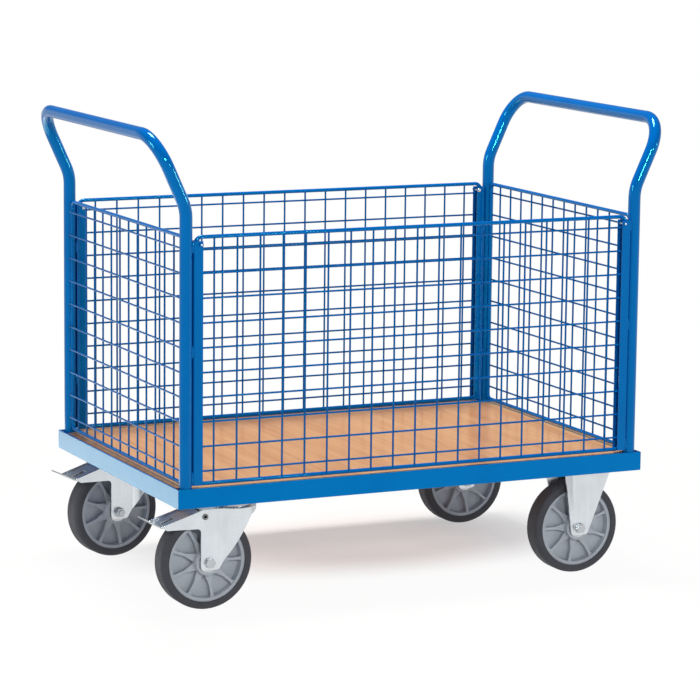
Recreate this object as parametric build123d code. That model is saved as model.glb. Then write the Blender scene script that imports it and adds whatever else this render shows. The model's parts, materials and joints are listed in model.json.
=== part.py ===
from build123d import *
import os
from math import cos, radians, sin, sqrt, tan

os.makedirs("parts", exist_ok=True)

# Platform of a flat-bed trolley with mesh walls, millimetres, +X along the long side, ground at Z 0
PLATFORM_LENGTH = 1064
PLATFORM_WIDTH = 700
RIM_HEIGHT = 40
RIM_WALL = 4
LEDGE_WIDTH = 40
LEDGE_WALL = 4
DECK_THICKNESS = 15
DECK_RECESS = 2
DECK_GAP = 1
BEARER_WALL = 4
BEARER_MARGIN = 4
MIDDLE_BEARER_WIDTH = 80

# Push handles
TUBE_DIAMETER = 26
TUBE_WALL = 2
HANDLE_INSET = 22
HANDLE_REACH = 66
HANDLE_RISE = 707
HANDLE_LEAN = 24.5
LEAN_RADIUS = 85
CORNER_RADIUS = 70
NOTCH_GAP = 2

# Mesh walls
ROD_DIAMETER = 8
ROD_BEND = 14
WIRE_DIAMETER = 4
MESH_PITCH = 50
WALL_LIFT = 6.5
WALL_HEIGHT = 498.5
TOP_ROW_DROP = 22

# Posts that the long walls slide into, and their lock screws
POST_WALL = 2
POST_BEND = 3
POST_LIFT = 5
POST_DROP = 7
WALL_PLAY = 0.5
WIRE_PLAY = 1
SCREW_ROOM = 9.5
SCREW_DROP = 7
SCREW_DIAMETER = 5
SCREW_HEAD_DIAMETER = 9.5
SCREW_HEAD_HEIGHT = 3
SCREW_NUT_AF = 8
SCREW_NUT_HEIGHT = 4
SCREW_TAIL = 1
HOLE_GAP = 0.2

# Wheels
WHEEL_DIAMETER = 200
TYRE_WIDTH = 46
TYRE_DEPTH = 16.5
SHOULDER_RADIUS = 9
WHEEL_BODY_WIDTH = 40
LIP_DEPTH = 7
LIP_DRAFT = 2
WEB_THICKNESS = 12
HUB_DIAMETER = 54
HUB_DRAFT = 2
RIB_COUNT = 9
RIB_RECESS = 2.5
RIB_ROOT = 17
RIB_WAIST = 5.5
RIB_WAIST_DIAMETER = 100
RIB_FLARE = 10
RIB_FLARE_LENGTH = 5
BEARING_DIAMETER = 42
BEARING_WIDTH = 12
HUB_SHOULDER = 4
SLEEVE_DIAMETER = 20
RUNNING_GAP = 0.05
AXLE_DIAMETER = 12
AXLE_AF = 19
AXLE_HEAD = 7.5
AXLE_NUT = 10
AXLE_TAIL = 2

# Castor forks
CASTOR_INSET_Y = 85
SWIVEL_INSET = 154
FIXED_INSET = 118
TRAIL = 65
REAR_SWIVEL_TURN = 6.5
FRONT_FIXED_WHEEL_TURN = 20
FORK_SIDE_ROOM = 8
HUB_PLAY = 2
FORK_WALL = 4
CROWN_ROOM = 7
CROWN_RADIUS = 48
CROWN_LIP = 5
CROWN_EDGE = -15
HEAD_HEIGHT = 20
PLATE_WALL = 4
PLATE_CORNER = 10
BOLT_DIAMETER = 10
BOLT_AF = 16
BOLT_HEAD = 6.4
BOLT_NUT = 8
BOLT_TAIL = 2
BOLT_SPAN_Y = 76
BOLT_EDGE = 12
BOLT_ROOM = 0.6
NUT_ROOM = 1
LEG_FOOT = 15
LEG_FOOT_RADIUS = 8

# Pressed leg of the fixed fork, measured from the axle
FIXED_LEFT = 45
FIXED_RIGHT = 67
FIXED_FLAT = 20
FIXED_FOOT_LEFT = 19
FIXED_FOOT_RIGHT = 19
FIXED_FOOT_FLAT = 12
FIXED_FLARE = 14

# Side outline of the swivel fork: X from the axle, drop of Z below the top of the wheel
EAR_TIP = 106
EAR_TIP_DROP = 17
EAR_HEEL = 93
EAR_HEEL_DROP = 26
EAR_ROOT_DROP = 28
EAR_FILLET = 8
EAR_KNEE = 46
EAR_KNEE_RISE = 1
LEG_BACK = 19
LEG_FRONT = 20
NOSE_X = 89
NOSE_DROP = 5

# Ball race under the swivel plate
RACE_OUTER = 38
RACE_INNER = 27
RACE_HEIGHT = 8
RACE_GAP = 0.3
KINGPIN_DIAMETER = 16
KINGPIN_HEAD_DIAMETER = 28
KINGPIN_HEAD_HEIGHT = 5

# Brake pedal, pivoted in the ears of the swivel fork
PIVOT_X = -10
PIVOT_DROP = 3.5
PEDAL_WALL = 2.5
PEDAL_PLAY = 1
PEDAL_BEND = 12
PEDAL_ROOT = 17
PEDAL_ROOT_RISE = 5
PEDAL_KNEE = 46
PEDAL_KNEE_DROP = 1.5
PEDAL_HEEL = 102
PEDAL_HEEL_DROP = 20
PEDAL_TIP = 130
PEDAL_TIP_DROP = 5
CHEEK_DEPTH = 13
CHEEK_EYE = 8
SLOT_LENGTH = 28
SLOT_WIDTH = 12
SLOT_HEEL = 8
RIVET_DIAMETER = 9
RIVET_BORE = 6
RIVET_HEAD_DIAMETER = 13
RIVET_HEAD_HEIGHT = 1.5
RIVET_TAIL = 0.5
SHOE_START = 54
SHOE_LENGTH = 13
SHOE_WIDTH = 30
SHOE_CLEARANCE = 0.8
PEDAL_TRAVEL = 7

# Heights, from the ground up
wheel_radius = WHEEL_DIAMETER / 2
crown_bottom = WHEEL_DIAMETER + CROWN_ROOM
crown_top = crown_bottom + FORK_WALL
plate_bottom = crown_top + HEAD_HEIGHT
plate_top = plate_bottom + PLATE_WALL
bearer_floor = plate_top + BEARER_WALL
ledge_bottom = bearer_floor + BOLT_HEAD + BOLT_ROOM
deck_bottom = ledge_bottom + LEDGE_WALL
deck_top = deck_bottom + DECK_THICKNESS
rim_top = deck_top + DECK_RECESS
rim_bottom = rim_top - RIM_HEIGHT
low_rod = rim_top + WALL_LIFT
high_rod = low_rod + WALL_HEIGHT

# Places in plan
half_length = PLATFORM_LENGTH / 2
half_width = PLATFORM_WIDTH / 2
rim_inner_x = half_length - RIM_WALL
rim_inner_y = half_width - RIM_WALL
tube_radius = TUBE_DIAMETER / 2
rod_radius = ROD_DIAMETER / 2
wire_radius = WIRE_DIAMETER / 2
tube_x = half_length - HANDLE_INSET
tube_y = rim_inner_y - tube_radius
post_back = tube_x - tube_radius
side_leg = post_back - POST_WALL - WALL_PLAY - rod_radius
end_leg = tube_y - tube_radius - rod_radius
post_mouth = side_leg - rod_radius - SCREW_ROOM
post_half = rod_radius + WIRE_DIAMETER + WIRE_PLAY + POST_WALL
castor_y = half_width - CASTOR_INSET_Y
swivel_x = SWIVEL_INSET - half_length
fixed_x = half_length - FIXED_INSET

# Castor widths
fork_inner = TYRE_WIDTH / 2 + FORK_SIDE_ROOM
fork_outer = fork_inner + FORK_WALL
hub_half = fork_inner - HUB_PLAY
rim_radius = wheel_radius - TYRE_DEPTH
nut_corner = BOLT_AF / sqrt(3)
fixed_plate_x = (FIXED_RIGHT - FIXED_LEFT) / 2
bolt_span_x = FIXED_LEFT + FIXED_RIGHT + 2 * (nut_corner + NUT_ROOM)
plate_length = bolt_span_x + 2 * BOLT_EDGE
plate_width = BOLT_SPAN_Y + 2 * BOLT_EDGE
bearer_width = plate_length + 2 * BEARER_MARGIN


def save(name, shapes):
    solids = [solid for shape in shapes for solid in shape.solids()]
    whole = solids[0] if len(solids) == 1 else Compound(children=solids)
    export_step(whole, f"parts/{name}.step")


def block(x0, x1, y0, y1, z0, z1):
    return Pos((x0 + x1) / 2, (y0 + y1) / 2, (z0 + z1) / 2) * Box(x1 - x0, y1 - y0, z1 - z0)


def polygon(*points):
    return make_face(Polyline(*points, close=True))


def across(face, y0, y1):
    # A face drawn in X and Z, pulled along Y
    return Pos(0, y1, 0) * extrude(Plane.XZ * face, y1 - y0)


def turned(*points):
    # A solid of revolution about Z from radius and height pairs
    return revolve(Plane.XZ * polygon(*points), Axis.Z)


def along_y(shape):
    return Rot(90, 0, 0) * shape


def rod_z(radius, z0, z1):
    return Pos(0, 0, (z0 + z1) / 2) * Cylinder(radius, z1 - z0)


def hexagon(across_flats, z0, z1):
    face = RegularPolygon(across_flats / sqrt(3), 6)
    return Pos(0, 0, z0) * extrude(face, z1 - z0)


# Edge rails: a rim with a ledge inside it for the board, mitred at the corners


def mitred(half, offset, inner, depth, z0, height):
    near = half - inner
    far = near - depth
    face = polygon(
        (-near, inner - offset),
        (near, inner - offset),
        (far, inner + depth - offset),
        (-far, inner + depth - offset),
    )
    return Pos(0, 0, z0) * extrude(face, height)


def rail(length, offset):
    rim = mitred(length / 2, offset, 0, RIM_WALL, rim_bottom, RIM_HEIGHT)
    ledge = mitred(length / 2, offset, RIM_WALL, LEDGE_WIDTH, ledge_bottom, LEDGE_WALL)
    return rim + ledge


long_rail = rail(PLATFORM_LENGTH, half_width)
end_rail = rail(PLATFORM_WIDTH, half_length)
save("front_rail", [long_rail])
save("right_rail", [Rot(0, 0, 90) * end_rail])
save("rear_rail", [Rot(0, 0, 180) * long_rail])
save("left_rail", [Rot(0, 0, 270) * end_rail])

# Loading board, notched where the handle tubes stand on the ledge
board_x = rim_inner_x - DECK_GAP
board_y = rim_inner_y - DECK_GAP
board = block(-board_x, board_x, -board_y, board_y, deck_bottom, deck_top)
notch_x = tube_x - tube_radius - NOTCH_GAP
notch_y = tube_y - tube_radius - NOTCH_GAP
notch = Box(half_length - notch_x, half_width - notch_y, DECK_THICKNESS)
for side_x in (-1, 1):
    for side_y in (-1, 1):
        x = side_x * (half_length + notch_x) / 2
        y = side_y * (half_width + notch_y) / 2
        board -= Pos(x, y, deck_bottom + DECK_THICKNESS / 2) * notch
save("deck_board", [board])

# Bearers: shallow channels welded under the ledges, bolted to the castors


def bolt_places(centre_x, centre_y):
    places = []
    for side_x in (-1, 1):
        for side_y in (-1, 1):
            x = centre_x + side_x * bolt_span_x / 2
            places.append(Pos(x, centre_y + side_y * BOLT_SPAN_Y / 2, 0))
    return places


castor_bolt_places = []
for side in (-1, 1):
    castor_bolt_places += bolt_places(swivel_x, side * castor_y)
    castor_bolt_places += bolt_places(fixed_x + fixed_plate_x, side * castor_y)

bolt_hole = rod_z(BOLT_DIAMETER / 2 + HOLE_GAP, plate_bottom, bearer_floor)


def bearer(centre_x, width):
    half = width / 2
    inner = half - BEARER_WALL
    section = polygon(
        (-half, plate_top),
        (half, plate_top),
        (half, ledge_bottom),
        (inner, ledge_bottom),
        (inner, bearer_floor),
        (-inner, bearer_floor),
        (-inner, ledge_bottom),
        (-half, ledge_bottom),
    )
    return Pos(centre_x, 0, 0) * across(section, -rim_inner_y, rim_inner_y)


left_bearer = bearer(swivel_x, bearer_width)
right_bearer = bearer(fixed_x + fixed_plate_x, bearer_width)
for place in castor_bolt_places:
    left_bearer -= place * bolt_hole
    right_bearer -= place * bolt_hole
save("left_bearer", [left_bearer])
save("middle_bearer", [bearer((swivel_x + fixed_x) / 2, MIDDLE_BEARER_WIDTH)])
save("right_bearer", [right_bearer])

# Push handles: one bent tube at each end, standing on the ledge in the corners
bar_z = rim_top + HANDLE_RISE
lean_z = bar_z - HANDLE_REACH / tan(radians(HANDLE_LEAN))
bar_x = tube_x + HANDLE_REACH
handle_path = FilletPolyline(
    (tube_x, -tube_y, deck_bottom),
    (tube_x, -tube_y, lean_z),
    (bar_x, -tube_y, bar_z),
    (bar_x, tube_y, bar_z),
    (tube_x, tube_y, lean_z),
    (tube_x, tube_y, deck_bottom),
    radius=[LEAN_RADIUS, CORNER_RADIUS, CORNER_RADIUS, LEAN_RADIUS],
)
tube_section = Circle(tube_radius) - Circle(tube_radius - TUBE_WALL)
handle = sweep(Plane(handle_path @ 0, z_dir=handle_path % 0) * tube_section, path=handle_path)
save("right_handle", [handle])
save("left_handle", [Rot(0, 0, 180) * handle])

# Mesh walls, each a bent rod frame with wires welded to it, drawn facing -Y


def columns(half, odd):
    shift = 0 if odd else MESH_PITCH / 2
    count = int((half - shift - rod_radius - wire_radius) / MESH_PITCH)
    right = [shift + MESH_PITCH * i for i in range(count + 1)]
    left = [-x for x in right if x > 0]
    return sorted(left + right)


def rows():
    room = WALL_HEIGHT - TOP_ROW_DROP - rod_radius - wire_radius
    return [high_rod - TOP_ROW_DROP - MESH_PITCH * i for i in range(int(room / MESH_PITCH) + 1)]


def rod_frame(half):
    middle = (low_rod + high_rod) / 2
    loop = (Plane.XZ * Pos(0, middle) * RectangleRounded(2 * half, WALL_HEIGHT, ROD_BEND)).wire()
    return sweep(Plane(loop @ 0, z_dir=loop % 0) * Circle(rod_radius), path=loop)


def uprights(half, odd):
    # Wires between the low and high rod, their ends shaped to the rods
    reach = MESH_PITCH / 2
    wire = Pos(0, wire_radius - rod_radius, 0) * rod_z(wire_radius, low_rod, high_rod)
    for z in (low_rod, high_rod):
        wire -= Pos(0, 0, z) * Rot(0, 90, 0) * Cylinder(rod_radius, 2 * reach)
    return [Pos(x, 0, 0) * wire for x in columns(half, odd)]


def crosswires(half):
    # Wires on the outside of the uprights and of the frame's legs
    y = -rod_radius - wire_radius
    wire = Rot(0, 90, 0) * Cylinder(wire_radius, 2 * half)
    return [Pos(0, y, z) * wire for z in rows()]


side_frame = rod_frame(side_leg)
side_wires = uprights(side_leg, True) + crosswires(side_leg)
end_frame = rod_frame(end_leg)
end_wires = uprights(end_leg, False) + crosswires(end_leg)
wall_places = {
    "front": (Pos(0, -tube_y, 0), side_frame, side_wires),
    "rear": (Rot(0, 0, 180) * Pos(0, -tube_y, 0), side_frame, side_wires),
    "right": (Rot(0, 0, 90) * Pos(0, -tube_x, 0), end_frame, end_wires),
    "left": (Rot(0, 0, 270) * Pos(0, -tube_x, 0), end_frame, end_wires),
}
for name, (place, frame, wires) in wall_places.items():
    save(f"{name}_wall_frame", [place * frame])
    save(f"{name}_wall_wires", [place * wire for wire in wires])

# Posts: channels welded to the tubes, open towards the wall that slides in from above
post_bottom = rim_top + POST_LIFT
post_top = high_rod - POST_DROP
screw_x = side_leg - rod_radius - SCREW_ROOM / 2
screw_z = post_top - SCREW_DROP
screw_hole = Pos(screw_x, 0, screw_z) * along_y(
    Cylinder(SCREW_DIAMETER / 2 + HOLE_GAP, 3 * post_half)
)
bend_inner = POST_BEND - POST_WALL
post_section = polygon(
    (post_mouth, -post_half), (post_back, -post_half), (post_back, post_half), (post_mouth, post_half)
)
post_section = fillet(post_section.vertices().group_by(Axis.X)[-1], POST_BEND)
post_hollow = polygon(
    (post_mouth, POST_WALL - post_half),
    (post_back - POST_WALL, POST_WALL - post_half),
    (post_back - POST_WALL, post_half - POST_WALL),
    (post_mouth, post_half - POST_WALL),
)
post_hollow = fillet(post_hollow.vertices().group_by(Axis.X)[-1], bend_inner)
post = Pos(0, 0, post_bottom) * extrude(post_section - post_hollow, post_top - post_bottom) - screw_hole

screw_shape = turned(
    (0, -post_half - SCREW_HEAD_HEIGHT),
    (SCREW_HEAD_DIAMETER / 2 - SCREW_HEAD_HEIGHT / 2, -post_half - SCREW_HEAD_HEIGHT),
    (SCREW_HEAD_DIAMETER / 2, -post_half - SCREW_HEAD_HEIGHT / 2),
    (SCREW_HEAD_DIAMETER / 2, -post_half),
    (SCREW_DIAMETER / 2, -post_half),
    (SCREW_DIAMETER / 2, post_half + SCREW_NUT_HEIGHT + SCREW_TAIL),
    (0, post_half + SCREW_NUT_HEIGHT + SCREW_TAIL),
)
nut_shape = hexagon(SCREW_NUT_AF, post_half, post_half + SCREW_NUT_HEIGHT)
nut_shape -= rod_z(SCREW_DIAMETER / 2, post_half, post_half + SCREW_NUT_HEIGHT)
# Turned so that the head lies inside the load bay and the nut outside
screw = Pos(screw_x, 0, screw_z) * along_y(screw_shape)
screw_nut = Pos(screw_x, 0, screw_z) * along_y(nut_shape)
lock_screws = []
lock_nuts = []
for side_y, depth in (("front", Pos(0, -tube_y, 0)), ("rear", Rot(0, 0, 180) * Pos(0, -tube_y, 0))):
    near_end, far_end = ("right", "left") if side_y == "front" else ("left", "right")
    save(f"{side_y}_{near_end}_post", [depth * post])
    save(f"{side_y}_{far_end}_post", [depth * mirror(post, Plane.YZ)])
    lock_screws += [depth * screw, depth * mirror(screw, Plane.YZ)]
    lock_nuts += [depth * screw_nut, depth * mirror(screw_nut, Plane.YZ)]
save("lock_screws", lock_screws)
save("lock_nuts", lock_nuts)

# Wheels: a ribbed moulded body, a tyre round it and two bearings in the hub, axle along Y


def wheel_body():
    half = WHEEL_BODY_WIDTH / 2
    web = WEB_THICKNESS / 2
    hub = HUB_DIAMETER / 2
    lip = rim_radius - LIP_DEPTH
    seat = BEARING_DIAMETER / 2
    bore = seat - HUB_SHOULDER
    stop = hub_half - BEARING_WIDTH
    upper = [
        (bore, stop),
        (seat, stop),
        (seat, hub_half),
        (hub, hub_half),
        (hub + HUB_DRAFT, web),
        (lip - LIP_DRAFT, web),
        (lip, half),
        (rim_radius, half),
    ]
    lower = [(radius, -height) for radius, height in reversed(upper)]
    body = turned(*upper, *lower)
    flare_end = lip
    flare_start = flare_end - RIB_FLARE_LENGTH
    waist = RIB_WAIST_DIAMETER / 2
    rib_face = polygon(
        (hub, -RIB_ROOT / 2),
        (waist, -RIB_WAIST / 2),
        (flare_start, -RIB_WAIST / 2),
        (flare_end, -RIB_FLARE / 2),
        (flare_end, RIB_FLARE / 2),
        (flare_start, RIB_WAIST / 2),
        (waist, RIB_WAIST / 2),
        (hub, RIB_ROOT / 2),
    )
    rib = extrude(rib_face, half - RIB_RECESS, both=True)
    body += [Rot(0, 0, 360 / RIB_COUNT * i) * rib for i in range(RIB_COUNT)]
    return along_y(body)


def tyre():
    section = Pos((rim_radius + wheel_radius) / 2, 0) * Rectangle(TYRE_DEPTH, TYRE_WIDTH)
    section = fillet(section.vertices().group_by(Axis.X)[-1], SHOULDER_RADIUS)
    return along_y(revolve(Plane.XZ * section, Axis.Z))


def bearings():
    ring = Circle(BEARING_DIAMETER / 2) - Circle(SLEEVE_DIAMETER / 2 + RUNNING_GAP)
    low = Pos(0, 0, -hub_half) * extrude(ring, BEARING_WIDTH)
    high = Pos(0, 0, hub_half - BEARING_WIDTH) * extrude(ring, BEARING_WIDTH)
    return [along_y(low), along_y(high)]


def axle_sleeve():
    ring = Circle(SLEEVE_DIAMETER / 2) - Circle(AXLE_DIAMETER / 2 + HOLE_GAP)
    return along_y(Pos(0, 0, -fork_inner) * extrude(ring, 2 * fork_inner))


def axle_bolt():
    # The head lies on the outer side, towards -Y before placing
    head = hexagon(AXLE_AF, fork_outer, fork_outer + AXLE_HEAD)
    shank = rod_z(AXLE_DIAMETER / 2, -fork_outer - AXLE_NUT - AXLE_TAIL, fork_outer)
    nut = hexagon(AXLE_AF, -fork_outer - AXLE_NUT, -fork_outer)
    nut -= rod_z(AXLE_DIAMETER / 2, -fork_outer - AXLE_NUT, -fork_outer)
    return [along_y(head + shank), along_y(nut)]


axle_hole = along_y(Cylinder(AXLE_DIAMETER / 2 + HOLE_GAP, 3 * fork_outer))

# Castor pieces are drawn about the axle, so heights are taken from the axle
lift = wheel_radius


def castor_plate():
    face = RectangleRounded(plate_length, plate_width, PLATE_CORNER)
    plate = Pos(0, 0, plate_bottom) * extrude(face, PLATE_WALL)
    for place in bolt_places(0, 0):
        plate -= place * bolt_hole
    return Pos(0, 0, -lift) * plate


def fixed_fork():
    outer = fork_outer
    inner = fork_inner
    top = plate_bottom - lift

    def section(left, right, flat, flare, z):
        return Pos(0, 0, z) * polygon(
            (-left, outer + flare),
            (-flat, outer),
            (flat, outer),
            (right, outer + flare),
            (right, inner + flare),
            (flat, inner),
            (-flat, inner),
            (-left, inner + flare),
        )

    foot = section(FIXED_FOOT_LEFT, FIXED_FOOT_RIGHT, FIXED_FOOT_FLAT, 0, -LEG_FOOT)
    head = section(FIXED_LEFT, FIXED_RIGHT, FIXED_FLAT, FIXED_FLARE, top)
    leg = loft([foot, head], ruled=True)
    outline = polygon(
        (-FIXED_FOOT_LEFT, -LEG_FOOT),
        (FIXED_FOOT_RIGHT, -LEG_FOOT),
        (FIXED_RIGHT, top),
        (-FIXED_LEFT, top),
    )
    outline = fillet(outline.vertices().group_by(Axis.Y)[0], LEG_FOOT_RADIUS)
    leg = leg & across(outline, 0, outer + FIXED_FLARE)
    fork = Pos(fixed_plate_x, 0, 0) * castor_plate() + leg + mirror(leg, Plane.XZ)
    return fork - axle_hole


def fork_outline():
    top = crown_top - lift
    foot_left = (-LEG_BACK, -LEG_FOOT)
    foot_right = (LEG_FRONT, -LEG_FOOT)
    ear_root = (-LEG_BACK, lift - EAR_ROOT_DROP)
    face = polygon(
        foot_left,
        foot_right,
        (NOSE_X, lift - NOSE_DROP),
        (TRAIL + CROWN_RADIUS, top - CROWN_LIP),
        (TRAIL + CROWN_RADIUS, top),
        (CROWN_EDGE, top),
        (-EAR_KNEE, lift + EAR_KNEE_RISE),
        (-EAR_TIP, lift - EAR_TIP_DROP),
        (-EAR_HEEL, lift - EAR_HEEL_DROP),
        ear_root,
    )
    rounded = face.vertices().sort_by_distance(ear_root)[:1]
    face = fillet(rounded, EAR_FILLET)
    feet = face.vertices().group_by(Axis.Y)[0]
    return fillet(feet, LEG_FOOT_RADIUS)


def swivel_fork():
    top = crown_top - lift
    foot = -LEG_FOOT
    outer = block(-EAR_TIP, TRAIL, -fork_outer, fork_outer, foot, top)
    outer += Pos(TRAIL, 0, 0) * rod_z(CROWN_RADIUS, foot, top)
    under = crown_bottom - lift
    hollow = block(-2 * EAR_TIP, TRAIL, -fork_inner, fork_inner, foot, under)
    hollow += Pos(TRAIL, 0, 0) * rod_z(CROWN_RADIUS - FORK_WALL, foot, under)
    opening = block(-2 * EAR_TIP, CROWN_EDGE, -fork_inner, fork_inner, foot, top)
    fork = outer & across(fork_outline(), -CROWN_RADIUS, CROWN_RADIUS)
    fork -= hollow
    fork -= opening
    fork -= Pos(TRAIL, 0, 0) * rod_z(KINGPIN_DIAMETER / 2 + RUNNING_GAP, under, top)
    fork -= pivot * along_y(Cylinder(RIVET_DIAMETER / 2, 3 * fork_outer))
    return fork - axle_hole


def swivel_plate():
    skirt = turned(
        (RACE_INNER, plate_bottom),
        (RACE_OUTER, plate_bottom),
        (RACE_OUTER, crown_top + RACE_HEIGHT + RACE_GAP),
        (RACE_INNER, crown_top + RACE_HEIGHT + RACE_GAP),
    )
    plate = castor_plate() + Pos(0, 0, -lift) * skirt
    plate -= Pos(0, 0, -lift) * rod_z(KINGPIN_DIAMETER / 2, plate_bottom, plate_top)
    return Pos(TRAIL, 0, 0) * plate


def swivel_race():
    ring = Circle(RACE_OUTER) - Circle(RACE_INNER)
    return Pos(TRAIL, 0, crown_top - lift) * extrude(ring, RACE_HEIGHT)


def kingpin():
    head_top = crown_bottom - RACE_GAP
    pin = turned(
        (0, head_top - KINGPIN_HEAD_HEIGHT),
        (KINGPIN_HEAD_DIAMETER / 2, head_top - KINGPIN_HEAD_HEIGHT),
        (KINGPIN_HEAD_DIAMETER / 2, head_top),
        (KINGPIN_DIAMETER / 2, head_top),
        (KINGPIN_DIAMETER / 2, plate_top),
        (0, plate_top),
    )
    return Pos(TRAIL, 0, -lift) * pin


pivot = Pos(PIVOT_X, 0, lift - PIVOT_DROP)
pedal_half = fork_inner - PEDAL_PLAY
cheek_inner = pedal_half - PEDAL_WALL


def brake_pedal():
    root = (-PEDAL_ROOT, lift + PEDAL_ROOT_RISE)
    knee = (-PEDAL_KNEE, lift - PEDAL_KNEE_DROP)
    heel = (-PEDAL_HEEL, lift - PEDAL_HEEL_DROP)
    tip = (-PEDAL_TIP, lift - PEDAL_TIP_DROP)
    line = FilletPolyline(root, knee, heel, tip, radius=PEDAL_BEND)
    sheet = across(make_face(offset(line, amount=PEDAL_WALL, side=Side.LEFT)), -pedal_half, pedal_half)
    slot_end = SLOT_HEEL - PEDAL_HEEL
    sheet -= block(slot_end, slot_end + SLOT_LENGTH, -SLOT_WIDTH / 2, SLOT_WIDTH / 2, 0, 2 * lift)
    eye = Pos(PIVOT_X, lift - PIVOT_DROP) * Circle(CHEEK_EYE)
    cheek_face = eye + polygon(
        root,
        knee,
        (heel[0] + PEDAL_BEND, heel[1] + PEDAL_WALL),
        (knee[0], knee[1] - CHEEK_DEPTH),
        (PIVOT_X, lift - PIVOT_DROP - CHEEK_EYE),
        (PIVOT_X, lift - PIVOT_DROP + CHEEK_EYE),
    )
    cheek = across(cheek_face, -pedal_half, -cheek_inner)
    pedal = sheet + cheek + mirror(cheek, Plane.XZ)
    return pedal - pivot * along_y(Cylinder(RIVET_DIAMETER / 2 + RUNNING_GAP, 3 * fork_outer))


def released(x):
    # A point that just clears the tread with the pedal down, turned back to the pedal up
    clear = wheel_radius + SHOE_CLEARANCE
    dx = x - PIVOT_X
    dz = sqrt(clear * clear - x * x) - (lift - PIVOT_DROP)
    turn = radians(PEDAL_TRAVEL)
    back_x = dx * cos(turn) + dz * sin(turn)
    back_z = dz * cos(turn) - dx * sin(turn)
    return (PIVOT_X + back_x, lift - PIVOT_DROP + back_z)


def under_sheet(x):
    # Height of the sloping underside of the pedal between its knee and its heel
    slope = (PEDAL_HEEL_DROP - PEDAL_KNEE_DROP) / (PEDAL_HEEL - PEDAL_KNEE)
    drop = PEDAL_WALL * sqrt(1 + slope * slope)
    return lift - PEDAL_KNEE_DROP - drop + slope * (x + PEDAL_KNEE)


def brake_shoe():
    near = released(-SHOE_START)
    far = released(-SHOE_START - SHOE_LENGTH)
    face = polygon(near, far, (far[0], under_sheet(far[0])), (near[0], under_sheet(near[0])))
    return across(face, -SHOE_WIDTH / 2, SHOE_WIDTH / 2)


def pedal_rivets():
    tail = cheek_inner - RIVET_TAIL
    rivet = turned(
        (RIVET_BORE / 2, tail),
        (RIVET_DIAMETER / 2, tail),
        (RIVET_DIAMETER / 2, fork_outer),
        (RIVET_HEAD_DIAMETER / 2, fork_outer),
        (RIVET_HEAD_DIAMETER / 2, fork_outer + RIVET_HEAD_HEIGHT),
        (RIVET_BORE / 2, fork_outer + RIVET_HEAD_HEIGHT),
    )
    front = pivot * along_y(rivet)
    return [front, mirror(front, Plane.XZ)]


# Castors in their places: swivelling at the left end, fixed at the right end
swivel_places = {
    "front": Pos(swivel_x, -castor_y, lift) * Pos(-TRAIL, 0, 0),
    "rear": Pos(swivel_x, castor_y, lift) * Rot(0, 0, REAR_SWIVEL_TURN) * Pos(-TRAIL, 0, 0),
}
straight_places = {
    "front": Pos(swivel_x - TRAIL, -castor_y, lift),
    "rear": Pos(swivel_x - TRAIL, castor_y, lift),
}
fixed_places = {
    "front": Pos(fixed_x, -castor_y, lift),
    "rear": Pos(fixed_x, castor_y, lift),
}
swivel_pieces = {
    "swivel_fork": [swivel_fork()],
    "swivel_race": [swivel_race()],
    "swivel_axle": axle_bolt(),
    "swivel_sleeve": [axle_sleeve()],
    "pedal_rivets": pedal_rivets(),
    "brake_pedal": [brake_pedal()],
    "brake_shoe": [brake_shoe()],
}
wheel_pieces = {
    "wheel": [wheel_body()],
    "tyre": [tyre()],
    "bearings": bearings(),
}
for side, place in swivel_places.items():
    # The rear castor is a mirror image, so that its axle head also faces outwards
    for name, solids in swivel_pieces.items():
        outward = solids if side == "front" else [mirror(solid, Plane.XZ) for solid in solids]
        save(f"{side}_{name}", [place * solid for solid in outward])
    for name, solids in wheel_pieces.items():
        save(f"{side}_left_{name}", [place * solid for solid in solids])
fixed_wheel_turns = {"front": Rot(0, FRONT_FIXED_WHEEL_TURN, 0), "rear": Rot(0, 0, 0)}
for side, place in fixed_places.items():
    save(f"{side}_fixed_fork", [place * fixed_fork()])
    for name, solids in wheel_pieces.items():
        save(f"{side}_right_{name}", [place * fixed_wheel_turns[side] * solid for solid in solids])
save("swivel_plates", [place * swivel_plate() for place in straight_places.values()])
save("kingpins", [place * kingpin() for place in straight_places.values()])
front_axle = axle_bolt()
rear_axle = [mirror(solid, Plane.XZ) for solid in front_axle]
fixed_axles = [fixed_places["front"] * solid for solid in front_axle]
fixed_axles += [fixed_places["rear"] * solid for solid in rear_axle]
save("fixed_axles", fixed_axles)
save("fixed_sleeves", [place * axle_sleeve() for place in fixed_places.values()])

# Castor bolts drop through from inside the bearers, nuts below the plates
bolt = rod_z(BOLT_DIAMETER / 2, plate_bottom - BOLT_NUT - BOLT_TAIL, bearer_floor)
bolt += hexagon(BOLT_AF, bearer_floor, bearer_floor + BOLT_HEAD)
bolt_nut = hexagon(BOLT_AF, plate_bottom - BOLT_NUT, plate_bottom)
bolt_nut -= rod_z(BOLT_DIAMETER / 2, plate_bottom - BOLT_NUT, plate_bottom)
save("castor_bolts", [place * bolt for place in castor_bolt_places])
save("castor_nuts", [place * bolt_nut for place in castor_bolt_places])
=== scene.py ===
import json
from math import radians

import bpy
from mathutils import Matrix, Vector

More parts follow.
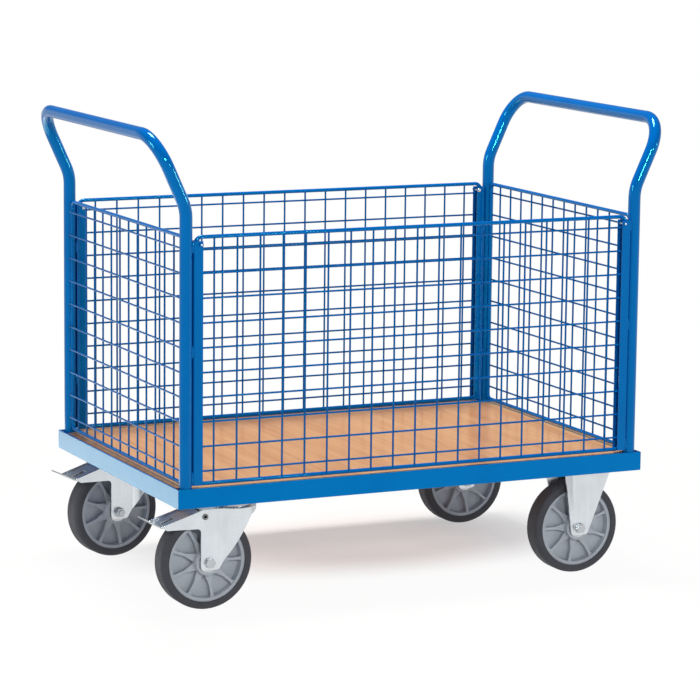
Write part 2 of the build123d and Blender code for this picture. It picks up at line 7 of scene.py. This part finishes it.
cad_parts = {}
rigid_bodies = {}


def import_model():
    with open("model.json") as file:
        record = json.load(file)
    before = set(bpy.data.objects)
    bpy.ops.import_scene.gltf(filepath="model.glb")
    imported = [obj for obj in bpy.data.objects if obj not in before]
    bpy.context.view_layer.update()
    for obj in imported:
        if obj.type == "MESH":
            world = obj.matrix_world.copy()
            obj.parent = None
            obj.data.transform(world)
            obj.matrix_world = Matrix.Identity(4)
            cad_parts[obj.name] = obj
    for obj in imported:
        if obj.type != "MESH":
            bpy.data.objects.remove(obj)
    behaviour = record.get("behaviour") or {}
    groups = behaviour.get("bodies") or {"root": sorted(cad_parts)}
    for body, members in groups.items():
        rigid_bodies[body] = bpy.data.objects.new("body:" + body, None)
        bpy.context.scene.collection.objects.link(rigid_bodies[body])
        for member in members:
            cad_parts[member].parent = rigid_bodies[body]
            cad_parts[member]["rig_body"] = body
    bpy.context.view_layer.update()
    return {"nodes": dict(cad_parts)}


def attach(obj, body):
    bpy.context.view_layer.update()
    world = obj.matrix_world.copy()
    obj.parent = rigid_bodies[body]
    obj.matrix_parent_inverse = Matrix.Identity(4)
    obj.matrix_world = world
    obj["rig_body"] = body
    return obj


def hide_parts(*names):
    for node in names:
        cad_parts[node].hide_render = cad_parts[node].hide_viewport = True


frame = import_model()
nodes = frame["nodes"]

# Camera, fitted to the photograph: metres, degrees, and the focal length in pixels of a 700 pixel picture
CAMERA_PLACE = (-2.867, -6.114, 1.576)
CAMERA_TURN = -25.18
CAMERA_DIP = 9.34
CAMERA_ROLL = 0.6
CAMERA_SIGHT = 100
FOCAL_PIXELS = 3179
PICTURE_PIXELS = 700
SENSOR = 36

# Sky over the studio: brightness by height above the horizon, as a light and as gloss mirrors it
SKY = ((0.0, 1.0), (0.05, 0.36), (0.3, 0.34), (0.65, 0.1))
SKY_MIRRORED = ((0.0, 1.0), (0.16, 0.5), (0.26, 0.15), (0.65, 0.1))

# Floor paper: metres, and shares of white
FLOOR_RADIUS = 60
FLOOR_SIDES = 96
FLOOR_PAPER = (0.95, 0.86, 0.81)
FLOOR_BOUNCE = 0.68
FAR_FLOOR = (1.6, 3.2)
FAR_FLOOR_GLOSS = 0.35
FLAG_MIDDLE = (1.5, -0.25, 0)
FLAG_REACH = (0.55, 0.65, 1)
FLAG_FADE = (0.5, 1.0)
SHADOW_MIDDLE = (0.12, 0.17, 0)
SHADOW_REACH = (0.5, 0.28, 1)
SHADOW_FADE = (0.5, 1.35)
SHADOW_GLOW = (0.44, 0.95)
WHITE_FADE = (0.8, 1.7)

# Lamps: place, the point that they face and size in metres, power in watts
LAMPS = {
    "overhead_softbox": ((0, 0.6, 4.2), (0, 0, 0.3), (1.2, 1.2), 168),
    "front_left_softbox": ((-0.9, -4.6, 2.14), (0, 0, 0.6), (0.7, 0.3), 66),
    "front_right_softbox": ((1.3, -4.3, 1.6), (0, 0, 0.6), (0.6, 0.18), 20),
    "right_softbox": ((3.4, -2.6, 1.3), (-0.5, -0.3, 0.85), (0.5, 0.35), 17),
    "left_softbox": ((-3.0, -0.3, 1.7), (-0.5, 0, 0.6), (0.9, 0.6), 28),
    "floor_sheet": ((-1.0, 0.9, 0.004), (-1.0, 0.9, 1.0), (0.7, 1.9), 9.2),
}
MIRRORED_LAMP = "floor_sheet"
SIDE_LAMPS = ("front_left_softbox", "front_right_softbox", "right_softbox", "left_softbox")
DECK = "deck_board"

# Colours of the finishes, with their places on a cloud of noise where they are ramps
COAT_DARK = (0.0, 0.114, 0.425)
COAT_LIGHT = (0.0, 0.13, 0.465)
BEECH = ((0.34, (0.67, 0.285, 0.091)), (0.5, (0.778, 0.36, 0.128)), (0.66, (0.855, 0.429, 0.165)))
MOULDING = ((0.35, (0.36, 0.395, 0.44)), (0.65, (0.41, 0.45, 0.5)))
ZINC = (0.7, 0.745, 0.775)
BRIGHT_ZINC = (0.62, 0.65, 0.67)
BOLT_ZINC = (0.52, 0.55, 0.58)
DULL_ZINC = (0.2, 0.205, 0.21)
BEARING_STEEL = (0.56, 0.57, 0.58)
ZINC_WEAR = 0.9
TYRE_DARK = (0.045, 0.047, 0.056)
TYRE_LIGHT = (0.058, 0.06, 0.071)
PAD_DARK = (0.02, 0.02, 0.022)
PAD_LIGHT = (0.03, 0.03, 0.032)

# Middle part of a noise, which roughness is spread over
NOISE_LOW = 0.3
NOISE_HIGH = 0.7

# Weld stitches between tubes, posts and end walls, metres; rows give heights with half lengths
WELD_SIDES = 10
WELD_RINGS = 15
WELD_WAIST = 0.84
POST_WELD_X = 0.4986
POST_WELD_OUT = 0.341
POST_WELD_IN = 0.325
POST_WELD_RADIUS = 0.0032
POST_WELDS_OUT = ((0.753, 0.012), (0.5435, 0.013), (0.286, 0.014))
POST_WELDS_IN = ((0.671, 0.012), (0.38, 0.012))
ROD_WELD_X = 0.5132
ROD_WELD_Y = 0.3195
ROD_WELD_RADIUS = 0.0023
ROD_WELDS = ((0.742, 0.01), (0.52, 0.01), (0.305, 0.01))

# Rounded edges: metres, and the angle in degrees from which an edge is sharp
SHEET_EDGE = 0.0012
CAST_EDGE = 0.0016
SMALL_EDGE = 0.0006
EDGE_SEGMENTS = 2
FACET_ANGLE = 32
FOLD_ANGLE = 20
FLAT_ANGLE = 0.5
MERGE_GAP = 1e-6
FASTENERS = ("_axle", "_axles", "_bolts", "_nuts", "_screws", "_rivets", "_plates")
EDGES = (
    (("_rail",), SHEET_EDGE, FACET_ANGLE),
    (("_fork",), SMALL_EDGE, FOLD_ANGLE),
    (("_brake_pedal", "_post"), SMALL_EDGE, FACET_ANGLE),
    (("_left_wheel", "_right_wheel"), CAST_EDGE, FACET_ANGLE),
    (FASTENERS, SMALL_EDGE, FACET_ANGLE),
)


class Nodes:
    """A node tree, and the kinds of node that finishes, floor and sky are put together from."""

    def __init__(self, tree):
        self.tree = tree

    def node(self, kind, **settings):
        made = self.tree.nodes.new(kind)
        for name, value in settings.items():
            setattr(made, name, value)
        return made

    def link(self, source, target):
        self.tree.links.new(source, target)

    def tones(self, amount, stops):
        made = self.node("ShaderNodeValToRGB")
        elements = made.color_ramp.elements
        while len(elements) < len(stops):
            elements.new(0.5)
        for element, (position, colour) in zip(elements, stops):
            element.position = position
            element.color = (*colour, 1)
        self.link(amount, made.inputs["Fac"])
        return made.outputs["Color"]

    def span(self, amount, start, stop, low, high, curve="LINEAR"):
        made = self.node("ShaderNodeMapRange", interpolation_type=curve)
        made.inputs["From Min"].default_value = start
        made.inputs["From Max"].default_value = stop
        made.inputs["To Min"].default_value = low
        made.inputs["To Max"].default_value = high
        self.link(amount, made.inputs["Value"])
        return made.outputs["Result"]

    def math(self, operation, first, second):
        made = self.node("ShaderNodeMath", operation=operation)
        self.link(first, made.inputs[0])
        self.link(second, made.inputs[1])
        return made.outputs["Value"]

    def distance(self, middle, reach):
        """How far a point of the piece lies from a place, in shares of the reach along each axis."""
        mapping = self.node("ShaderNodeMapping", vector_type="TEXTURE")
        mapping.inputs["Location"].default_value = middle
        mapping.inputs["Scale"].default_value = reach
        self.link(self.node("ShaderNodeTexCoord").outputs["Object"], mapping.inputs["Vector"])
        length = self.node("ShaderNodeVectorMath", operation="LENGTH")
        self.link(mapping.outputs["Vector"], length.inputs[0])
        return length.outputs["Value"]


class Finish(Nodes):
    """A material made of textures on the piece's own coordinates, with scales in waves per metre."""

    def __init__(self, name, **shader_values):
        self.material = bpy.data.materials.new(name)
        self.material.use_nodes = True
        super().__init__(self.material.node_tree)
        self.shader = self.tree.nodes["Principled BSDF"]
        self.place = self.node("ShaderNodeTexCoord").outputs["Object"]
        for socket, value in shader_values.items():
            self.shader.inputs[socket.replace("_", " ")].default_value = value

    def noise(self, scale, detail=2, place=None):
        texture = self.node("ShaderNodeTexNoise")
        texture.inputs["Scale"].default_value = scale
        texture.inputs["Detail"].default_value = detail
        self.link(place or self.place, texture.inputs["Vector"])
        return texture.outputs["Fac"]

    def drawn_noise(self, scales, detail):
        """Noise drawn out along an axis, as fibres and rolling marks are."""
        mapping = self.node("ShaderNodeMapping")
        mapping.inputs["Scale"].default_value = scales
        self.link(self.place, mapping.inputs["Vector"])
        return self.noise(1, detail, mapping.outputs["Vector"])

    def mixed(self, first, second, share):
        mix = self.node("ShaderNodeMix")
        mix.inputs[0].default_value = share
        self.link(first, mix.inputs[2])
        self.link(second, mix.inputs[3])
        return mix.outputs[0]

    def colour(self, amount, stops):
        self.link(self.tones(amount, stops), self.shader.inputs["Base Color"])

    def roughness(self, amount, low, high):
        spread = self.span(amount, NOISE_LOW, NOISE_HIGH, low, high)
        self.link(spread, self.shader.inputs["Roughness"])

    def bump(self, height, depth, strength):
        bump = self.node("ShaderNodeBump")
        bump.inputs["Strength"].default_value = strength
        bump.inputs["Distance"].default_value = depth
        self.link(height, bump.inputs["Height"])
        self.link(bump.outputs["Normal"], self.shader.inputs["Normal"])


def scaled(colour, share):
    return tuple(share * part for part in colour)


def blue_powder_coat(name, gloss, tint, low, high, depth=1.0):
    finish = Finish(name, Specular_IOR_Level=gloss, Specular_Tint=(*tint, 1))
    # depth scales the blue: above 1 it is painted light, below 1 it is painted shade
    dark = scaled(COAT_DARK, depth)
    light = scaled(COAT_LIGHT, depth)
    finish.colour(finish.noise(9), ((0.3, dark), (0.7, light)))
    finish.roughness(finish.noise(40), low, high)
    finish.bump(finish.noise(240, 1), 0.0004, 0.004)
    return finish.material


def beech_board():
    finish = Finish("beech_board", Specular_IOR_Level=0.5)
    fibre = finish.drawn_noise((110, 4, 60), 3)
    band = finish.drawn_noise((22, 1.4, 20), 2)
    finish.colour(finish.mixed(fibre, band, 0.6), BEECH)
    finish.roughness(finish.drawn_noise((120, 12, 60), 3), 0.17, 0.25)
    finish.bump(fibre, 0.0002, 0.12)
    return finish.material


def zinc_plate(name, colour, low, high, metal=1.0):
    finish = Finish(name, Metallic=metal)
    cloud = finish.noise(28, 4)
    rolled = finish.drawn_noise((70, 70, 9), 2)
    worn = scaled(colour, ZINC_WEAR)
    finish.colour(finish.mixed(cloud, rolled, 0.5), ((0.38, worn), (0.62, colour)))
    finish.roughness(rolled, low, high)
    finish.bump(finish.noise(900, 2), 0.0002, 0.1)
    return finish.material


def grey_moulding():
    finish = Finish("grey_moulding", Specular_IOR_Level=0.4)
    finish.colour(finish.noise(22, 3), MOULDING)
    finish.roughness(finish.noise(160), 0.34, 0.44)
    finish.bump(finish.noise(1600, 1), 0.0002, 0.15)
    return finish.material


def dark_rubber(name, dark, light):
    finish = Finish(name, Specular_IOR_Level=0.25)
    finish.colour(finish.noise(30, 3), ((0.3, dark), (0.7, light)))
    finish.roughness(finish.noise(220), 0.55, 0.7)
    finish.bump(finish.noise(1300, 2), 0.0003, 0.2)
    return finish.material


# Finishes of the record's slots, and those of nodes that differ from their slot
slot_finishes = {
    "blue_paint": blue_powder_coat("blue_powder_coat", 0.5, (0.1, 1.0, 0.9), 0.06, 0.09),
    "board": beech_board(),
    "zinc": zinc_plate("zinc_plate", ZINC, 0.2, 0.3),
    "bearing_steel": zinc_plate("bearing_steel", BEARING_STEEL, 0.2, 0.3),
    "wheel_moulding": grey_moulding(),
    "tyre": dark_rubber("tyre_rubber", TYRE_DARK, TYRE_LIGHT),
    "brake_pad": dark_rubber("brake_rubber", PAD_DARK, PAD_LIGHT),
}
node_finishes = {
    ("_brake_pedal",): zinc_plate("bright_zinc", BRIGHT_ZINC, 0.28, 0.36, 0.6),
    ("_rivets",): zinc_plate("dull_zinc", DULL_ZINC, 0.35, 0.45),
    ("_axle", "_axles"): zinc_plate("bolt_zinc", BOLT_ZINC, 0.34, 0.44),
    # The rails take the same blue painted 1.2 times lighter: painted light for the floor's bounce on
    # them, beside their real gloss
    ("_rail",): blue_powder_coat("rail_powder_coat_painted_light", 0.6, (0.02, 0.9, 0.3), 0.2, 0.23, 1.2),
    # The wires take the same blue painted at 0.8: painted shade that darkens the thin wires
    ("_wires",): blue_powder_coat("wire_powder_coat_painted_shade", 0.25, (0.1, 1.0, 1.0), 0.12, 0.18, 0.8),
}

slots = {name: node.material_slots[0].material.name for name, node in nodes.items()}
for name, node in nodes.items():
    finish = slot_finishes[slots[name]]
    for endings, own_finish in node_finishes.items():
        if name.endswith(endings):
            finish = own_finish
    node.material_slots[0].material = finish


def select_only(*pieces):
    bpy.ops.object.select_all(action="DESELECT")
    for piece in pieces:
        piece.select_set(True)
    bpy.context.view_layer.objects.active = pieces[0]


def apply_modifier(piece, kind, **settings):
    modifier = piece.modifiers.new(kind.lower(), kind)
    for name, value in settings.items():
        setattr(modifier, name, value)
    bpy.ops.object.modifier_apply(modifier=modifier.name)


def body_of(name):
    return nodes[name]["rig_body"]


def rounded(name, radius, angle):
    """The node again with its sharp edges rounded over, as pressing, casting or rolling leaves them."""
    piece = nodes[name].copy()
    piece.data = nodes[name].data.copy()
    piece.parent = None
    piece.name = name + "_rounded"
    for key in list(piece.keys()):
        del piece[key]
    bpy.context.scene.collection.objects.link(piece)
    select_only(piece)
    bpy.ops.mesh.customdata_custom_splitnormals_clear()
    bpy.ops.object.mode_set(mode="EDIT")
    bpy.ops.mesh.select_all(action="SELECT")
    bpy.ops.mesh.remove_doubles(threshold=MERGE_GAP)
    bpy.ops.mesh.dissolve_limited(angle_limit=radians(FLAT_ANGLE))
    bpy.ops.object.mode_set(mode="OBJECT")
    sharp = radians(angle)
    sharp_edges = {"limit_method": "ANGLE", "angle_limit": sharp}
    apply_modifier(piece, "BEVEL", width=radius, segments=EDGE_SEGMENTS, **sharp_edges)
    bpy.ops.object.shade_smooth_by_angle(angle=sharp)
    apply_modifier(piece, "WEIGHTED_NORMAL", keep_sharp=True)
    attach(piece, body_of(name))
    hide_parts(name)


for name in nodes:
    for endings, radius, angle in EDGES:
        if name.endswith(endings):
            rounded(name, radius, angle)
            break


def weld_bead():
    """One stitch of a weld, a metre in half length and in radius, with the ripples of its pool."""
    bpy.ops.object.select_all(action="DESELECT")
    bpy.ops.mesh.primitive_uv_sphere_add(segments=WELD_SIDES, ring_count=WELD_RINGS, radius=1)
    bead = bpy.context.object
    heights = sorted({round(vertex.co.z, 4) for vertex in bead.data.vertices})
    waists = set(heights[2:-2:2])
    bpy.ops.object.mode_set(mode="EDIT")
    bpy.ops.mesh.select_all(action="DESELECT")
    bpy.ops.object.mode_set(mode="OBJECT")
    for vertex in bead.data.vertices:
        vertex.select = round(vertex.co.z, 4) in waists
    bpy.ops.object.mode_set(mode="EDIT")
    bpy.ops.transform.resize(value=(WELD_WAIST, WELD_WAIST, 1), center_override=(0, 0, 0))
    bpy.ops.mesh.select_all(action="SELECT")
    bpy.ops.mesh.faces_shade_smooth()
    bpy.ops.object.mode_set(mode="OBJECT")
    return bead


def weld_seams(name, carrier, radius, stitches):
    """Stitches at the given places, each with its half length, joined into one piece."""
    pattern = weld_bead()
    beads = []
    for place, half_length in stitches:
        bead = pattern.copy()
        bead.data = pattern.data.copy()
        bpy.context.scene.collection.objects.link(bead)
        bead.location = place
        bead.scale = (radius, radius, half_length)
        beads.append(bead)
    bpy.data.objects.remove(pattern)
    select_only(*beads)
    bpy.ops.object.transform_apply(location=True, rotation=True, scale=True)
    bpy.ops.object.join()
    seams = bpy.context.object
    seams.name = name
    seams.data.materials.append(slot_finishes["blue_paint"])
    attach(seams, body_of(carrier))


corners = [(side, end) for side in (-1, 1) for end in (-1, 1)]
post_stitches = [
    ((end * POST_WELD_X, side * depth, height), half_length)
    for side, end in corners
    for depth, row in ((POST_WELD_OUT, POST_WELDS_OUT), (POST_WELD_IN, POST_WELDS_IN))
    for height, half_length in row
]
rod_stitches = [
    ((end * ROD_WELD_X, side * ROD_WELD_Y, height), half_length)
    for side, end in corners
    for height, half_length in ROD_WELDS
]
weld_seams("post_welds", "front_left_post", POST_WELD_RADIUS, post_stitches)
weld_seams("end_wall_welds", "left_wall_frame", ROD_WELD_RADIUS, rod_stitches)


def studio_world():
    """White at the horizon, as the floor is, and dimmer above it, most of all in what is glossy."""
    world = bpy.data.worlds.new("studio")
    world.use_nodes = True
    sky = Nodes(world.node_tree)
    height = sky.node("ShaderNodeSeparateXYZ")
    sky.link(sky.node("ShaderNodeTexCoord").outputs["Generated"], height.inputs["Vector"])
    mix = sky.node("ShaderNodeMixRGB")
    sky.link(sky.node("ShaderNodeLightPath").outputs["Is Glossy Ray"], mix.inputs["Fac"])
    for socket, stops in (("Color1", SKY), ("Color2", SKY_MIRRORED)):
        greys = [(position, (grey, grey, grey)) for position, grey in stops]
        sky.link(sky.tones(height.outputs["Z"], greys), mix.inputs[socket])
    sky.link(mix.outputs["Color"], sky.tree.nodes["Background"].inputs["Color"])
    bpy.context.scene.world = world


def pale_floor():
    """White paper near the trolley, which takes its shadow, fading into the white backdrop."""
    bpy.ops.mesh.primitive_circle_add(vertices=FLOOR_SIDES, radius=FLOOR_RADIUS, fill_type="NGON")
    floor = bpy.context.object
    floor.name = "floor"
    material = bpy.data.materials.new("floor_paper")
    material.use_nodes = True
    surface = Nodes(material.node_tree)
    surface.tree.nodes.clear()
    paper = surface.node("ShaderNodeBsdfDiffuse")
    paper.inputs["Color"].default_value = (*FLOOR_PAPER, 1)

    # The backdrop is white to the eye, in metal and through glass, and throws less light on the trolley
    around = surface.distance((0, 0, 0), (1, 1, 1))
    path = surface.node("ShaderNodeLightPath").outputs
    far = surface.span(around, *FAR_FLOOR, 1.0, FAR_FLOOR_GLOSS, "SMOOTHSTEP")
    mirrored = surface.math("MULTIPLY", path["Is Glossy Ray"], far)
    # A dimmer patch at the right, which the folds of the fixed forks mirror
    flag = surface.span(surface.distance(FLAG_MIDDLE, FLAG_REACH), *FLAG_FADE, 0.0, 1.0, "SMOOTHSTEP")
    mirrored = surface.math("MULTIPLY", mirrored, flag)
    seen = surface.math("MAXIMUM", path["Is Camera Ray"], path["Is Transmission Ray"])
    seen = surface.math("MAXIMUM", seen, mirrored)
    glow = surface.node("ShaderNodeEmission")
    surface.link(surface.span(seen, 0.0, 1.0, FLOOR_BOUNCE, 1.0), glow.inputs["Strength"])

    # Paper shows through the glow where the trolley's shadow lies
    beside = surface.distance(SHADOW_MIDDLE, SHADOW_REACH)
    shadow = surface.span(beside, *SHADOW_FADE, *SHADOW_GLOW, "SMOOTHSTEP")
    white = surface.span(around, *WHITE_FADE, 0.0, 1.0, "SMOOTHSTEP")
    mix = surface.node("ShaderNodeMixShader")
    surface.link(surface.math("MAXIMUM", shadow, white), mix.inputs["Fac"])
    surface.link(paper.outputs["BSDF"], mix.inputs[1])
    surface.link(glow.outputs["Emission"], mix.inputs[2])
    output = surface.node("ShaderNodeOutputMaterial")
    surface.link(mix.outputs["Shader"], output.inputs["Surface"])
    floor.data.materials.append(material)


def soft_lamp(name, place, aim, size, power):
    light = bpy.data.lights.new(name, "AREA")
    light.shape = "RECTANGLE"
    light.size = size[0]
    light.size_y = size[1]
    light.energy = power
    lamp = bpy.data.objects.new(name, light)
    bpy.context.scene.collection.objects.link(lamp)
    lamp.location = place
    lamp.rotation_euler = (Vector(aim) - Vector(place)).to_track_quat("-Z", "Y").to_euler()
    lamp.visible_camera = False
    return lamp


def spare_deck(lamp):
    """Keep a lamp off the deck, whose flat top would mirror it as a glare."""
    spared = bpy.data.collections.new(lamp.name + "_spared")
    spared.objects.link(nodes[DECK])
    spared.collection_objects[0].light_linking.link_state = "EXCLUDE"
    lamp.light_linking.receiver_collection = spared


def photograph_camera():
    camera = bpy.data.objects.new("camera", bpy.data.cameras.new("camera"))
    bpy.context.scene.collection.objects.link(camera)
    camera.data.sensor_width = SENSOR
    camera.data.lens = FOCAL_PIXELS / PICTURE_PIXELS * SENSOR
    camera.data.clip_end = CAMERA_SIGHT
    turn = Matrix.Rotation(radians(CAMERA_TURN), 4, "Z")
    dip = Matrix.Rotation(radians(90 - CAMERA_DIP), 4, "X")
    roll = Matrix.Rotation(radians(CAMERA_ROLL), 4, "Z")
    camera.matrix_world = Matrix.Translation(CAMERA_PLACE) @ turn @ dip @ roll
    bpy.context.scene.camera = camera


bpy.ops.object.select_all(action="DESELECT")
studio_world()
pale_floor()
lamps = {name: soft_lamp(name, *lamp) for name, lamp in LAMPS.items()}
lamps[MIRRORED_LAMP].visible_diffuse = False
for name in SIDE_LAMPS:
    spare_deck(lamps[name])
photograph_camera()
bpy.context.scene.view_settings.view_transform = "Standard"
